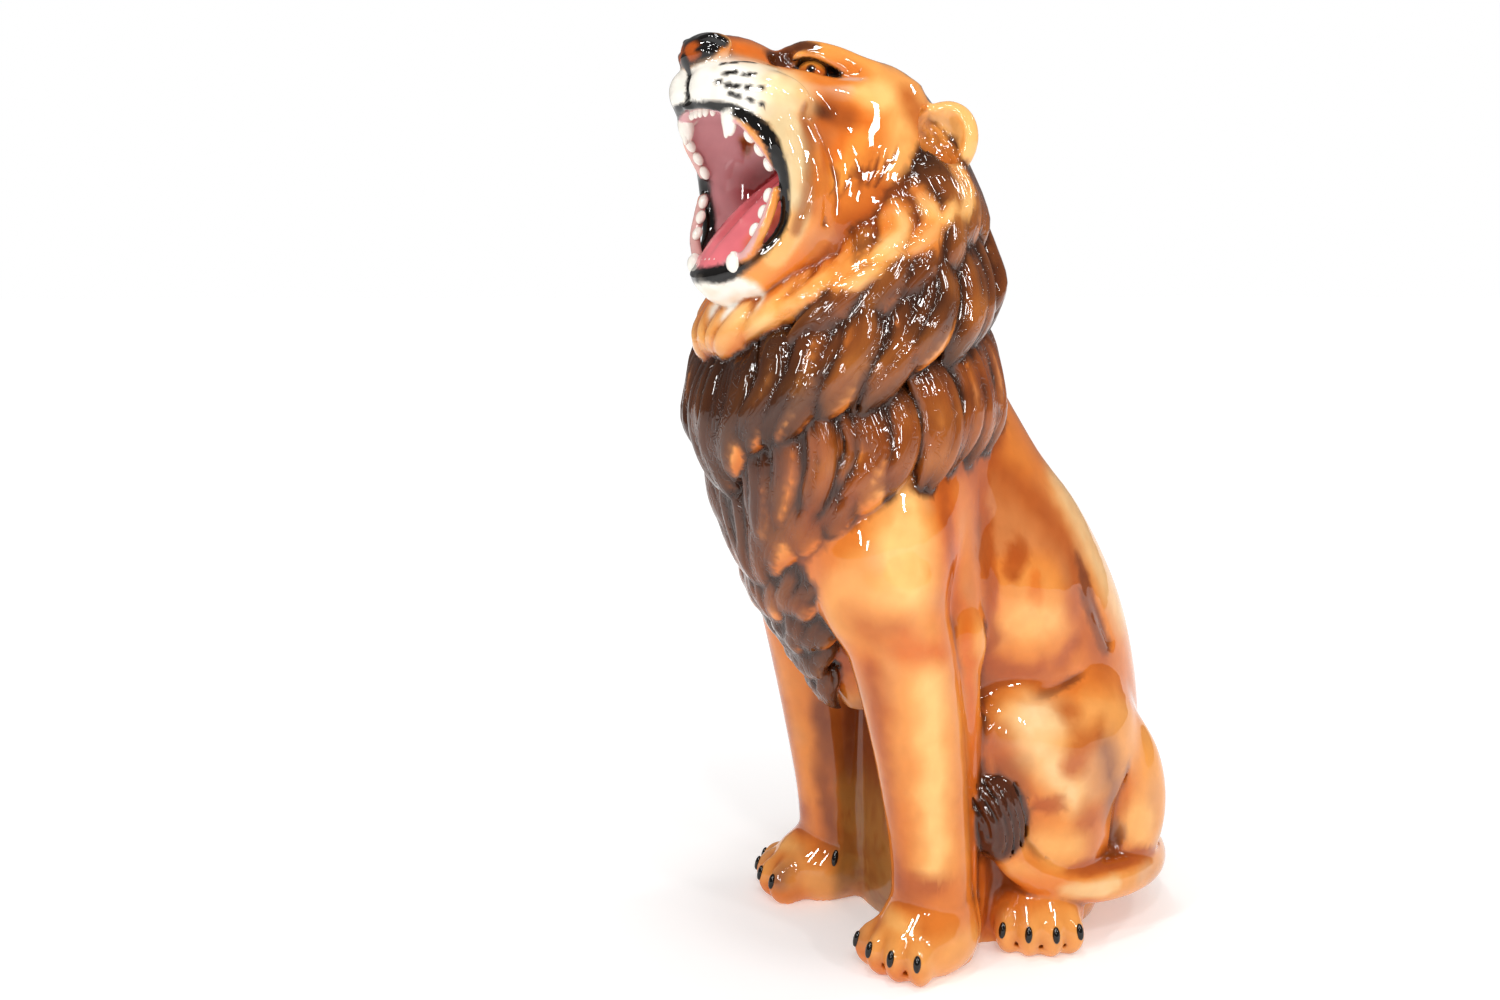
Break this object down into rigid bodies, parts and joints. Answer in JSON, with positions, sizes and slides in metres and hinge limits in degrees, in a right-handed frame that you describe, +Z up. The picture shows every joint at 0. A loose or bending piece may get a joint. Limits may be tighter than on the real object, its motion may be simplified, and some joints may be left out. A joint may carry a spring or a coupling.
{
  "type": "ceramic lion sculpture",
  "caption": "Seated roaring lion, a tall glazed ceramic floor figure with a layered mane, open mouth and a tail curled round its left side.",
  "frame": {"origin": "centre of the ground plane under the figure's box", "axes": "+Z up, the lion looks along -Y, its left side is +X"},
  "size_m": [0.3139, 0.543, 0.8535],
  "materials": {
    "glazed_ceramic": null
  },
  "bodies": {
    "root": {"lion": "glazed_ceramic"}
  },
  "joints": []
}
